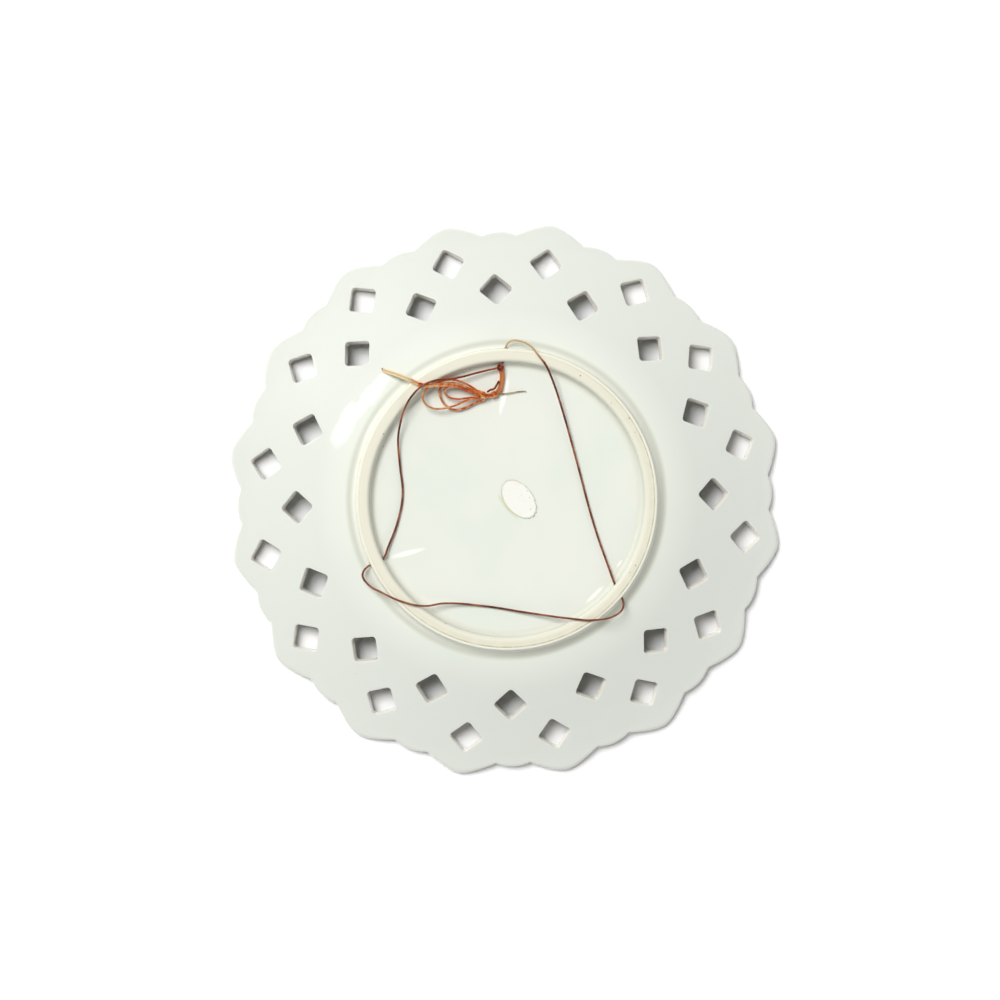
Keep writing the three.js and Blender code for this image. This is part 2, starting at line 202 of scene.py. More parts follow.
LOOP_ROUTE = [
    (-2.0, 57.7, 21.5), (-0.6, 64.6, 21.5), (1.0, 66.9, 22.3), (4.8, 67.2, 23.7), (9.6, 65.1, 24.8),
    (13.4, 60.6, 25.0), (16.1, 57.1, 24.9), (18.8, 51.5, 24.0), (22.3, 41.6, 22.6), (29.3, 17.4, 20.7),
    (37.0, -10.8, 20.4), (43.4, -29.4, 21.1), (45.7, -35.7, 21.5), (49.0, -42.1, 21.5), (49.3, -45.7, 22.5),
    (46.0, -49.0, 24.1), (36.6, -51.0, 25.0), (28.0, -50.5, 24.6), (8.0, -47.9, 21.4), (-9.0, -45.3, 20.3),
    (-26.3, -43.9, 22.7), (-35.6, -44.9, 24.8), (-44.5, -43.0, 25.0), (-52.6, -39.5, 24.2), (-59.4, -35.4, 22.3),
    (-61.2, -31.9, 21.6), (-60.0, -29.2, 21.5), (-52.3, -24.7, 21.5), (-50.7, -20.8, 21.1), (-46.2, -8.6, 20.3),
    (-44.3, 2.5, 20.2), (-45.4, 14.0, 20.5), (-46.2, 25.0, 21.9), (-45.2, 32.3, 23.6), (-43.2, 38.8, 25.0),
    (-40.2, 43.9, 25.8), (-35.3, 48.4, 26.2), (-29.6, 50.5, 25.4), (-21.7, 51.4, 23.8), (-11.5, 54.0, 22.3),
]
UPPER_KNOT = (-2.9, 56.0, 21.4)
LOWER_KNOT = (-5.6, 44.6, 21.2)
FIRST_STRAND = [(-5.4, 45.0, 21.2), (-3.9, 46.6, 21.1), (-3.05, 49.2, 20.9), (-2.7, 52.2, 21.0),
                (-2.9, 55.0, 21.3)]
SECOND_STRAND = [(-6.0, 55.3, 21.9), (-3.3, 55.6, 21.6), (-1.9, 54.2, 21.2), (-1.65, 52.2, 21.0),
                 (-1.95, 49.2, 20.9), (-2.9, 46.2, 21.1), (-4.8, 44.4, 21.2)]
loop = wire("hanging_wire_loop", FIRST_STRAND + LOOP_ROUTE + SECOND_STRAND, WIRE_DIAMETER, browned_copper)
print("loop length in mm:", round(1000 * length_of(loop), 1))

# %% [markdown]
# ## The hank
# The wire that is left over is folded back and forth beside the top of the recess, in three loose turns that
# pinch together at the lower knot. Each turn lies lower than the one before it, so that the strands pass over and
# under one another. From the last fold the wire goes up over the foot ring to the upper left.

# %% The hank's turns
TURNS = [
    [(-11.0, 44.9, 22.9), (-14.4, 47.3, 23.0), (-17.8, 49.2, 23.1), (-21.8, 50.5, 23.3), (-27.0, 50.4, 23.5),
     (-32.0, 48.0, 23.6), (-34.7, 46.1, 23.7), (-35.7, 43.4, 23.7), (-35.2, 41.3, 23.6), (-32.5, 39.0, 23.5),
     (-28.5, 38.4, 23.3), (-21.8, 39.9, 23.1), (-16.7, 42.1, 23.0), (-12.3, 43.0, 22.8)],
    [(-10.2, 43.4, 22.5), (-9.2, 44.4, 22.1), (-10.0, 45.5, 21.8), (-12.0, 46.0, 21.7), (-16.3, 46.8, 21.8),
     (-21.7, 48.5, 22.1), (-25.6, 47.5, 22.3), (-26.6, 45.6, 22.3), (-25.2, 43.7, 22.2), (-21.8, 42.7, 22.1),
     (-15.4, 43.2, 21.9), (-12.2, 43.4, 21.7)],
    [(-10.6, 43.6, 21.5), (-9.6, 42.9, 21.3), (-10.3, 42.1, 21.1), (-12.6, 41.4, 21.0), (-18.2, 38.8, 21.0),
     (-22.3, 38.1, 21.1), (-25.5, 39.5, 21.2), (-28.2, 43.1, 21.3), (-28.6, 46.8, 21.3), (-25.0, 49.4, 21.2),
     (-17.0, 47.3, 20.9), (-12.0, 44.6, 20.8)],
]
hank_route = [(-5.2, 44.9, 21.3), (-7.6, 44.5, 22.3)] + sum(TURNS, [])
hank_route += [(-9.9, 43.9, 21.2), (-9.4, 43.1, 22.2), (-10.2, 43.4, 23.3), (-12.5, 45.2, 23.9),
               (-16.6, 47.2, 24.2), (-21.0, 48.6, 24.3), (-29.5, 48.9, 24.5), (-36.2, 48.9, 24.9),
               (-40.6, 50.9, 24.9), (-46.2, 53.2, 22.2), (-53.0, 55.6, 17.4)]
hank = wire("hank_wire", hank_route, WIRE_DIAMETER, bright_copper)
print("hank length in mm:", round(1000 * length_of(hank), 1))
second_route = [(-5.8, 44.2, 21.0), (-8.6, 43.6, 22.3), (-14.0, 45.0, 22.9), (-21.8, 47.8, 23.9),
                (-29.5, 48.0, 25.3), (-36.2, 47.9, 25.3), (-40.8, 49.9, 25.1), (-46.5, 52.3, 22.3),
                (-52.8, 54.6, 17.6)]
second_end = wire("second_end_wire", second_route, WIRE_DIAMETER, bright_copper)
print("second end length in mm:", round(1000 * length_of(second_end), 1))

# %% [markdown]
# ## The plate
# Slip-cast or pressed ware, pierced by hand while it was soft and then glazed all over, so every edge is soft. It
# could be cut with booleans, but then its edges would be sharp and its mesh poor. Instead Geometry Nodes grow a
# small grid around each piercing. The grid's rows run from the back, over the piercing's rounded edge, down its
# wall and out over the face, so the soft edge is part of the mesh. Neighbouring grids share their outlines and are
# merged. First come the sizes, and the two rules that the section follows.

# %% The plate's sizes
LOBES = 16
PERIOD = 360 / LOBES
RIM_RADIUS = 120.0
RIM_WALL, CENTRE_WALL = 3.8, 5.0
LOBE_PHASE = 12.8
EDGE_SLOPE = 0.19
FOOT_INNER, FOOT_OUTER, CREST = 58.7, 64.0, 24.0
FLOOR = 19.5
WELL = 14.5
OUTER_ROW, INNER_ROW = 103.8, 88.9
SHOULDER = Vector((68.5, 18.4))
SHOULDER_SLOPE = 0.2

edge_normal = Vector((EDGE_SLOPE, 1)).normalized()
edge_point = Vector((RIM_RADIUS - RIM_WALL / 2, RIM_WALL / 2)) + edge_normal * RIM_WALL / 2
reach = (edge_point.x - SHOULDER.x) / 3
heights = (SHOULDER.y, SHOULDER.y - SHOULDER_SLOPE * reach, edge_point.y + EDGE_SLOPE * reach, edge_point.y)
# The cubic through those four heights, as the factors of 1, t, t squared and t cubed.
CUBIC = (heights[0], 3 * (heights[1] - heights[0]), 3 * (heights[0] - 2 * heights[1] + heights[2]),
         heights[3] - 3 * heights[2] + 3 * heights[1] - heights[0])


def back_at(radius):
    """The back's point, its normal and the wall under it, in section."""
    t = (radius - SHOULDER.x) / (edge_point.x - SHOULDER.x)
    height = ((CUBIC[3] * t + CUBIC[2]) * t + CUBIC[1]) * t + CUBIC[0]
    slope = ((3 * CUBIC[3] * t + 2 * CUBIC[2]) * t + CUBIC[1]) / (edge_point.x - SHOULDER.x)
    return Vector((radius, height)), Vector((-slope, 1)).normalized(), CENTRE_WALL + (RIM_WALL - CENTRE_WALL) * t


for row in (OUTER_ROW, INNER_ROW):
    print("back at", row, "is", round(back_at(row)[0].y, 2), "high, wall", round(back_at(row)[2], 2))

# %% [markdown]
# ### The middle of the plate
# Everything inside the piercings is turned: one section, from the middle of the recess over the foot ring to the
# rim, and back along the face. It is drawn as a line of short edges, and a Screw modifier sweeps it round.

# %% The turned middle
INNER_EDGE = 78.5  # where the turned middle meets the first grids
STEPS_A_LOBE = 24


def curve_points(controls, steps):
    """Points along a quadratic or cubic curve, without its first one."""
    points = []
    for step in range(1, steps + 1):
        layer = [Vector(point) for point in controls]
        while len(layer) > 1:
            layer = [a.lerp(b, step / steps) for a, b in zip(layer, layer[1:])]
        points.append(layer[0])
    return points


section = [Vector((0, FLOOR))] + [Vector((r, FLOOR)) for r in (8, 20, 32, 42, 49, 53, 55, 56.3)]
BEND = CREST - 1.3  # where the foot ring's walls bend over to its crest
section += curve_points([(56.3, FLOOR), (58.1, FLOOR), (58.375, BEND)], 7)
section += curve_points([(58.375, BEND), (FOOT_INNER, CREST), (60, CREST)], 6)
section += [Vector((r, CREST)) for r in (60.9, 61.8, 62.7)]
section += curve_points([(62.7, CREST), (FOOT_OUTER, CREST), (FOOT_OUTER, BEND)], 6)
section += curve_points([(FOOT_OUTER, BEND), (FOOT_OUTER, 19.6), (65.2, 18.88), SHOULDER], 10)
section += [back_at(r)[0] for r in (70.5, 73, 75.7, INNER_EDGE)]
for radius in (INNER_EDGE, 76, 73.5, 71, 68.5):
    point, normal, wall = back_at(radius)
    section.append(point - normal * wall)
section += curve_points([section[-1], (62.5, 14.6), (54, WELL)], 6)
section += [Vector((r, WELL)) for r in (46, 36, 24, 10, 0)]

profile = bpy.data.meshes.new("plate_section")
start = math.radians(LOBE_PHASE)
across, up = Vector((math.cos(start), math.sin(start), 0)), Vector((0, 0, 1))
inner_stop = next(i for i, point in enumerate(section) if point.x == INNER_EDGE and point.y > 10)
edges = [(i, i + 1) for i in range(len(section) - 1) if i != inner_stop]
profile.from_pydata([across * point.x + up * point.y for point in section], edges, [])
turned = add_object("plate_middle", profile)
screw = turned.modifiers.new("turn", "SCREW")
screw.steps = screw.render_steps = LOBES * STEPS_A_LOBE
screw.use_merge_vertices = True
screw.merge_threshold = 0.001
print("section points:", len(section), "turned in", screw.steps, "steps")

# %% [markdown]
# ### The pierced rim
# The tree takes one point for each piercing, in its place, with its own small turn, because the holes were cut by
# hand. It works in four stages. First it lays out each grid flat, with x and y as seen from above and z as the
# distance from the middle of the wall. Then it lays out the lip in the same way. Then it drops that flat pattern
# on the section, along the section's normals. Last it draws the outer band in to the scalloped edge. The edge's
# rule is a straight fall to each side of a rounded tip, and a small bump between two lobes.

# %% The piercings' places
OUTER_HOLES = [(0.3, -0.1, 7), (0.7, 0, 3), (0.3, 1.3, 3), (0, -1.3, 0), (1, 0.1, 4), (0.5, 1.6, 3), (-0.6, 0.1, 4),
               (1.3, 0.2, -1), (0.3, 2, 2), (-0.6, 0.7, 1), (0.5, -2, 2), (0.2, 0, 2), (-1.1, -0.7, 0),
               (0.3, -1.3, -4), (0.3, -1.2, 5), (0.8, 0.9, 7)]
INNER_HOLES = [(-0.1, 0.2, 0), (0.5, 0.7, 4), (-0.2, 0.5, 3), (-0.6, 0.3, 7), (1.3, 1.2, 3), (-0.1, 1, -1),
               (-0.9, 0.3, -1), (1.6, 1.1, 3), (0.6, 0.6, 3), (-0.7, 0.8, 1), (0.1, -0.8, 5), (-0.6, -1.8, 7),
               (-0.4, -0.9, -2), (0.3, -0.9, 0), (0, -0.5, 2), (-0.8, -2.3, 4)]
OUTER_EDGE = 115.2  # where the outer grids meet the lip
MIDDLE_EDGE, EDGE_WAVE = 96.35, 3.0  # the two rows' shared outline swings in and out between the holes

places, facts = [], []
for row, holes, phase in ((OUTER_ROW, OUTER_HOLES, LOBE_PHASE), (INNER_ROW, INNER_HOLES, LOBE_PHASE - PERIOD / 2)):
    for i, (along, outward, turn) in enumerate(holes):
        cell_angle = math.radians(phase + i * PERIOD)
        angle = cell_angle + math.radians(along)
        places.append((math.cos(angle) * (row + outward), math.sin(angle) * (row + outward), 0))
        outer = row == OUTER_ROW
        facts.append({"cell_angle": cell_angle, "turn": math.radians(turn), "lean": back_at(row)[1].y,
                      "near": MIDDLE_EDGE if outer else INNER_EDGE, "near_wave": -EDGE_WAVE if outer else 0.0,
                      "far": OUTER_EDGE if outer else MIDDLE_EDGE, "far_wave": 0.0 if outer else EDGE_WAVE})
piercings = bpy.data.meshes.new("piercings")
piercings.from_pydata(places, [], [])
for name in facts[0]:
    piercings.attributes.new(name, "FLOAT", "POINT").data.foreach_set("value", [fact[name] for fact in facts])
plate = add_object("glazed_plate", piercings)
print("piercings:", len(places))

# %% The tree's inputs
tree = bpy.data.node_groups.new("pierced_rim", "GeometryNodeTree")
tree.interface.new_socket("Piercings", in_out="INPUT", socket_type="NodeSocketGeometry")
tree.interface.new_socket("Plate", in_out="OUTPUT", socket_type="NodeSocketGeometry")
sizes = {"Rim radius": RIM_RADIUS, "Notch depth": 5.8, "Bump rise": 1.4, "Tip rounding": 2.2, "Notch place": 2 / 3,
         "Scallop band": 12.0, "Edge slope": EDGE_SLOPE, "Lobe phase": LOBE_PHASE, "Rim wall": RIM_WALL,
         "Centre wall": CENTRE_WALL, "Hole side": 10.6, "Hole corner": 1.4, "Edge rounding": 0.25}
for name, value in sizes.items():
    tree.interface.new_socket(name, in_out="INPUT", socket_type="NodeSocketFloat").default_value = value
given = put(tree, "NodeGroupInput").outputs
glaze = bpy.data.materials.new("tin_white_glaze_fired")
print("sizes:", ", ".join(sizes))

# %% Stage 1: a flat grid for each piercing
SIDE_STEPS = 10
ROUND_CELL = 2 * (STEPS_A_LOBE + SIDE_STEPS)
WALL_ROWS, BEND_ROWS, FACE_ROWS = 1, 4, 5
ROWS = WALL_ROWS + BEND_ROWS + FACE_ROWS

place = put(tree, "GeometryNodeInputPosition")
centred = put(tree, "GeometryNodeStoreNamedAttribute", {"Geometry": given["Piercings"], "Name": "centre",
              "Value": place}, data_type="FLOAT_VECTOR", domain="POINT")
at_origin = put(tree, MOVE, {"Geometry": centred, "Position": put(tree, COMBINE)})
grid = put(tree, "GeometryNodeMeshGrid", [ROUND_CELL, 2 * ROWS, ROUND_CELL + 1, 2 * ROWS + 1])
copies = put(tree, "GeometryNodeInstanceOnPoints", {"Points": at_origin, "Instance": grid})
cells = put(tree, "GeometryNodeRealizeInstances", {"Geometry": copies})

step = put(tree, SPLIT, [place])
around = put(tree, MATHS, [step.outputs["X"], ROUND_CELL / 2], operation="ADD")
row = put(tree, MATHS, [step.outputs["Y"]], operation="ABSOLUTE")
side = put(tree, MATHS, [step.outputs["Y"]], operation="SIGN")
corners = [0, SIDE_STEPS, SIDE_STEPS + STEPS_A_LOBE, 2 * SIDE_STEPS + STEPS_A_LOBE, ROUND_CELL]
first, second, third, fourth = [put(tree, RANGE, [around, low, high]) for low, high in zip(corners, corners[1:])]
outward = put(tree, MATHS, [first, third], operation="SUBTRACT")
along = put(tree, MATHS, [second, fourth], operation="SUBTRACT")
fact = {name: put(tree, "GeometryNodeInputNamedAttribute", {"Name": name}, data_type="FLOAT") for name in facts[0]}
centre = put(tree, "GeometryNodeInputNamedAttribute", {"Name": "centre"}, data_type="FLOAT_VECTOR")

# The cell's own outline, in polar form about the plate's centre.
from_middle = put(tree, MATHS, [along, 0.5], operation="SUBTRACT")
wave = put(tree, MATHS, [put(tree, MATHS, [from_middle, 2 * math.pi], operation="MULTIPLY")], operation="COSINE")
near = put(tree, MATHS, [wave, fact["near_wave"], fact["near"]], operation="MULTIPLY_ADD")
far = put(tree, MATHS, [wave, fact["far_wave"], fact["far"]], operation="MULTIPLY_ADD")
radius = put(tree, MIX, [outward, near, far])
angle = put(tree, MATHS, [from_middle, math.radians(PERIOD)], operation="MULTIPLY")
outline = put(tree, ROTATE, {"Vector": put(tree, COMBINE, [radius]), "Angle": angle}, rotation_type="Z_AXIS")

# The hole: a square with rounded corners, read evenly from the middle of one side, standing on a corner.
square = put(tree, "GeometryNodeCurvePrimitiveQuadrilateral", {"Width": given["Hole side"],
             "Height": given["Hole side"]})
soft_square = put(tree, "GeometryNodeFilletCurve", {"Curve": square, "Count": 5, "Radius": given["Hole corner"]},
                  mode="POLY")
flat = put(tree, MATHS, [given["Hole corner"], -2.0, given["Hole side"]], operation="MULTIPLY_ADD")
quarter = put(tree, MATHS, [given["Hole corner"], math.pi / 2, flat], operation="MULTIPLY_ADD")
half_flat = put(tree, MATHS, [flat, quarter], operation="DIVIDE")
sides_done = put(tree, MATHS, [put(tree, MATHS, [first, second], operation="ADD"),
                 put(tree, MATHS, [third, fourth], operation="ADD")], operation="ADD")
read_from = put(tree, MATHS, [half_flat, -1 / 8, 1 / 2], operation="MULTIPLY_ADD")
factor = put(tree, MATHS, [sides_done, 1 / 4, read_from], operation="MULTIPLY_ADD")
read = put(tree, "GeometryNodeSampleCurve", {"Curves": soft_square,
           "Factor": put(tree, MATHS, [factor], operation="FRACT")}, mode="FACTOR")
outside = put(tree, VECTORS, [read.outputs["Tangent"], (0, 0, 1)], operation="CROSS_PRODUCT")
turn = put(tree, MATHS, [fact["turn"], math.pi / 4], operation="ADD")

# The rounded edge: rows swing out from the wall and up to the face by a quarter circle.
wall_share = put(tree, RANGE, [row, 0, WALL_ROWS])
bend = put(tree, RANGE, [row, WALL_ROWS, WALL_ROWS + BEND_ROWS, 0, math.pi / 2])
past_bend = put(tree, RANGE, [row, WALL_ROWS + BEND_ROWS, ROWS])
face_share = put(tree, MATHS, [past_bend, 1.3], operation="POWER")
grow = put(tree, MATHS, [put(tree, MATHS, [bend], operation="COSINE"),
           put(tree, MATHS, [given["Edge rounding"], -1.0], operation="MULTIPLY"), given["Edge rounding"]],
           operation="MULTIPLY_ADD")
rounded = put(tree, VECTORS, [outside, grow], operation="SCALE")
rounded = put(tree, VECTORS, [rounded, read.outputs["Position"]], operation="ADD")
turned_hole = put(tree, ROTATE, {"Vector": rounded, "Angle": turn}, rotation_type="Z_AXIS")
leaning = put(tree, COMBINE, [fact["lean"], 1.0, 1.0])
local_centre = put(tree, ROTATE, {"Vector": centre, "Angle": fact["cell_angle"]}, rotation_type="Z_AXIS", invert=True)
hole = put(tree, VECTORS, [turned_hole, leaning, local_centre], operation="MULTIPLY_ADD")
cell = put(tree, MIX, [face_share, hole, outline], data_type="VECTOR")
plan = put(tree, ROTATE, {"Vector": cell, "Angle": fact["cell_angle"]}, rotation_type="Z_AXIS")

# Half the wall, which grows a little towards the middle of the plate.
out_to = put(tree, VECTORS, [plan], operation="LENGTH")
t = put(tree, RANGE, [out_to, SHOULDER.x, edge_point.x], clamp=False)
half_wall = put(tree, MATHS, [put(tree, MIX, [t, given["Centre wall"], given["Rim wall"]], clamp_factor=False), 0.5],
                operation="MULTIPLY")
straight = put(tree, MATHS, [half_wall, given["Edge rounding"]], operation="SUBTRACT")
up_the_bend = put(tree, MATHS, [put(tree, MATHS, [bend], operation="SINE"), given["Edge rounding"]],
                  operation="MULTIPLY")
height = put(tree, MATHS, [wall_share, straight, up_the_bend], operation="MULTIPLY_ADD")
signed = put(tree, MATHS, [height, side], operation="MULTIPLY")
lifted = put(tree, COMBINE, [None, None, signed])
flat_cell = put(tree, VECTORS, [plan, lifted], operation="ADD")
flat_cells = put(tree, MOVE, {"Geometry": cells, "Position": flat_cell})
print("grid of each piercing:", ROUND_CELL, "by", 2 * ROWS)

# %% Stage 2: the flat lip
LIP_BENDS, LIP_ROWS = 6, 3
TURN_STEPS = LOBES * STEPS_A_LOBE
lip_grid = put(tree, "GeometryNodeMeshGrid", [TURN_STEPS, 2 * (LIP_BENDS + LIP_ROWS), TURN_STEPS + 1,
               2 * (LIP_BENDS + LIP_ROWS) + 1])
lip_bend = put(tree, RANGE, [row, 0, LIP_BENDS, 0, math.pi / 2])
lip_half = put(tree, MATHS, [given["Rim wall"], 0.5], operation="MULTIPLY")
lip_out = put(tree, MATHS, [put(tree, MATHS, [lip_bend], operation="COSINE"), lip_half, edge_point.x],
              operation="MULTIPLY_ADD")
lip_share = put(tree, RANGE, [row, LIP_BENDS, LIP_BENDS + LIP_ROWS])
lip_radius = put(tree, MIX, [lip_share, lip_out, OUTER_EDGE])
lip_t = put(tree, RANGE, [lip_radius, SHOULDER.x, edge_point.x], clamp=False)
lip_wall = put(tree, MIX, [lip_t, given["Centre wall"], given["Rim wall"]], clamp_factor=False)
lip_rise = put(tree, MATHS, [put(tree, MATHS, [lip_bend], operation="SINE"),
               put(tree, MATHS, [side, 0.5], operation="MULTIPLY")], operation="MULTIPLY")
lip_height = put(tree, MATHS, [lip_wall, lip_rise], operation="MULTIPLY")
phase = put(tree, MATHS, [given["Lobe phase"]], operation="RADIANS")
lip_angle = put(tree, MATHS, [step.outputs["X"], 2 * math.pi / TURN_STEPS, phase], operation="MULTIPLY_ADD")
lip_plan = put(tree, ROTATE, {"Vector": put(tree, COMBINE, [lip_radius, None, lip_height]), "Angle": lip_angle},
               rotation_type="Z_AXIS")
flat_lip = put(tree, MOVE, {"Geometry": lip_grid, "Position": lip_plan})
print("lip:", TURN_STEPS, "by", 2 * (LIP_BENDS + LIP_ROWS))

# %% Stage 3: drop the flat pattern on the section
flat_parts = put(tree, "GeometryNodeJoinGeometry")
feed(tree, flat_parts, [flat_cells])
feed(tree, flat_parts, [flat_lip])
level = put(tree, VECTORS, [place, (1, 1, 0)], operation="MULTIPLY")
distance = put(tree, VECTORS, [level], operation="LENGTH")
radial = put(tree, VECTORS, [level], operation="NORMALIZE")
s = put(tree, RANGE, [distance, SHOULDER.x, edge_point.x], clamp=False)
rise = CUBIC[3]
for number in (CUBIC[2], CUBIC[1], CUBIC[0]):
    rise = put(tree, MATHS, [rise, s, number], operation="MULTIPLY_ADD")
fall = -3 * CUBIC[3] / (edge_point.x - SHOULDER.x)
for number in (2 * CUBIC[2], CUBIC[1]):
    fall = put(tree, MATHS, [fall, s, -number / (edge_point.x - SHOULDER.x)], operation="MULTIPLY_ADD")
leant = put(tree, VECTORS, [radial, fall], operation="SCALE")
normal = put(tree, VECTORS, [put(tree, VECTORS, [leant, (0, 0, 1)], operation="ADD")], operation="NORMALIZE")
wall_here = put(tree, MIX, [s, given["Centre wall"], given["Rim wall"]], clamp_factor=False)
below = put(tree, MATHS, [wall_here, -0.5, put(tree, SPLIT, [place]).outputs["Z"]], operation="MULTIPLY_ADD")
on_back = put(tree, VECTORS, [level, put(tree, COMBINE, [None, None, rise])], operation="ADD")
sunk = put(tree, VECTORS, [normal, below], operation="SCALE")
dropped = put(tree, MOVE, {"Geometry": flat_parts, "Position": put(tree, VECTORS, [on_back, sunk], operation="ADD")})
print("the back in the tree: cubic with factors", [round(number, 3) for number in CUBIC])

# %% Stage 4: join the middle, and draw the edge in to its scallops
middle = put(tree, "GeometryNodeObjectInfo", {"Object": turned})
parts = put(tree, "GeometryNodeJoinGeometry")
feed(tree, parts, [dropped])
feed(tree, parts, [middle.outputs["Geometry"]])
merged = put(tree, "GeometryNodeMergeByDistance", {"Geometry": parts, "Distance": 0.02})
east_north = put(tree, SPLIT, [place])
bearing = put(tree, MATHS, [east_north.outputs["Y"], east_north.outputs["X"]], operation="ARCTAN2")
from_phase = put(tree, MATHS, [put(tree, MATHS, [bearing], operation="DEGREES"), given["Lobe phase"]],
                 operation="SUBTRACT")
from_tip = put(tree, MATHS, [from_phase, PERIOD / 2], operation="PINGPONG")
notch_at = put(tree, MATHS, [given["Notch place"], PERIOD / 2], operation="MULTIPLY")
# The fall is measured by the angle from the tip with the tip rounded off, here and at the notch.
rounded_falls = []
for from_here in (from_tip, notch_at):
    squared = put(tree, MATHS, [from_here, 2.0], operation="POWER")
    added = put(tree, MATHS, [given["Tip rounding"], given["Tip rounding"], squared], operation="MULTIPLY_ADD")
    root = put(tree, MATHS, [added], operation="SQRT")
    rounded_falls.append(put(tree, MATHS, [root, given["Tip rounding"]], operation="SUBTRACT"))
fallen = put(tree, MATHS, rounded_falls, operation="DIVIDE")
lobe = put(tree, MATHS, [put(tree, MATHS, [fallen, -1.0], operation="MULTIPLY"), given["Notch depth"]],
           operation="MULTIPLY")
across_bump = put(tree, RANGE, [from_tip, PERIOD / 2, notch_at], clamp=False)
bump_fall = put(tree, MATHS, [across_bump, 2.0], operation="POWER")
bump_rise = put(tree, MATHS, [put(tree, MATHS, [1.0, bump_fall], operation="SUBTRACT"), given["Bump rise"]],
                operation="MULTIPLY")
bump = put(tree, MATHS, [bump_rise, given["Notch depth"]], operation="SUBTRACT")
edge_shift = put(tree, MATHS, [lobe, bump], operation="MAXIMUM")
band_start = put(tree, MATHS, [given["Rim radius"], given["Scallop band"]], operation="SUBTRACT")
in_band = put(tree, RANGE, [distance, band_start, given["Rim radius"]])
shift = put(tree, MATHS, [in_band, edge_shift], operation="MULTIPLY")
lowered = put(tree, MATHS, [shift, put(tree, MATHS, [given["Edge slope"], -1.0], operation="MULTIPLY")],
              operation="MULTIPLY")
drawn_in = put(tree, VECTORS, [radial, shift], operation="SCALE")
offset = put(tree, VECTORS, [drawn_in, put(tree, COMBINE, [None, None, lowered])], operation="ADD")
scalloped = put(tree, MOVE, {"Geometry": merged, "Offset": offset})
in_metres = put(tree, "GeometryNodeTransform", {"Geometry": scalloped, "Scale": (MM, MM, MM)})
smooth = put(tree, "GeometryNodeSetShadeSmooth", {"Geometry": in_metres})
solid = put(tree, "GeometryNodeRealizeInstances", {"Geometry": smooth})
finished = put(tree, "GeometryNodeSetMaterial", {"Geometry": solid, "Material": glaze})
put(tree, "NodeGroupOutput", [finished])
print("nodes in the tree:", len(tree.nodes))

# %% Grow the plate and turn it into a plain mesh
grower = plate.modifiers.new("pierced_rim", "NODES")
grower.node_group = tree
for item in tree.interface.items_tree:
    if item.in_out == "INPUT" and item.name in sizes:
        grower[item.identifier] = sizes[item.name]


def plain(item):
    """A plain mesh object in the place of a curve, or of an object with modifiers."""
    mesh = bpy.data.meshes.new_from_object(item.evaluated_get(bpy.context.evaluated_depsgraph_get()))
    welded = bmesh.new()
    welded.from_mesh(mesh)
    bmesh.ops.remove_doubles(welded, verts=welded.verts, dist=0.001 * MM)
    welded.to_mesh(mesh)
    welded.free()
    mesh.name = name = item.name
    bpy.data.objects.remove(item)
    return add_object(name, mesh)


plate = plain(plate)
mesh = plate.data
bpy.data.objects.remove(turned)
shell = bmesh.new()
shell.from_mesh(mesh)
bmesh.ops.recalc_face_normals(shell, faces=shell.faces)
open_edges = sum(1 for edge in shell.edges if not edge.is_manifold)
print("plate:", len(shell.verts), "points,", len(shell.faces), "faces,", open_edges, "open edges,",
      round(shell.calc_volume() * 1e9), "mm3")
shell.to_mesh(mesh)
shell.free()

# %% [markdown]
# ### The three wire holes
# They are drilled last, with a boolean, because each is a plain bore through the foot ring and nothing else.

# %% Drill the wire holes
WIRE_HOLES = [(92.2, 90.4), (205.3, 205.6), (322.2, 319.2)]  # degrees at the ring's inside and outside
BORE, BORE_HEIGHT = 2.4, CREST - 2.5
drill = bmesh.new()
for inner_angle, outer_angle in WIRE_HOLES:
    ends = [Vector((r * math.cos(math.radians(a)), r * math.sin(math.radians(a)), BORE_HEIGHT)) * MM
            for r, a in ((FOOT_INNER, inner_angle), (FOOT_OUTER, outer_angle))]
    reach_of_bore = ends[1] - ends[0]
    turn_to = reach_of_bore.to_track_quat("Z", "Y").to_matrix().to_4x4()
    bmesh.ops.create_cone(drill, cap_ends=True, segments=32, radius1=BORE / 2 * MM, radius2=BORE / 2 * MM,
                          depth=3 * reach_of_bore.length,
                          matrix=Matrix.Translation((ends[0] + ends[1]) / 2) @ turn_to)
drill_mesh = bpy.data.meshes.new("drill")
drill.to_mesh(drill_mesh)
drill.free()
drill_object = add_object("drill", drill_mesh)
bore = plate.modifiers.new("bore", "BOOLEAN")
bore.operation, bore.solver, bore.object = "DIFFERENCE", "MANIFOLD", drill_object
plate = plain(plate)
mesh = plate.data
bpy.data.objects.remove(drill_object)
mesh.shade_smooth()
mesh.set_sharp_from_angle(angle=math.radians(50))
print("drilled plate:", len(mesh.polygons), "faces")

# %% [markdown]
# ## The glaze
# Tin-white glaze over a cream body: glass over a pale ground, fired on. It is smooth and glossy, faintly green
# where it lies thick, and cream where it runs thin, on the foot ring. Light and shade are painted into it in places:
# lighter piercing walls, white streaks and a pale crest line as painted light, darker bands and lines as painted
# shade. The ring's crest was wiped and has since worn, so it is duller, with brown specks.

# %% The glaze's material
glaze.use_nodes = True
tree = glaze.node_tree
shader = tree.nodes["Principled BSDF"]
coordinates = put(tree, "ShaderNodeTexCoord").outputs
place = coordinates["Object"]
height_here = put(tree, SPLIT, [place]).outputs["Z"]
level = put(tree, VECTORS, [place, (1, 1, 0)], operation="MULTIPLY")
radius = put(tree, VECTORS, [level], operation="LENGTH")
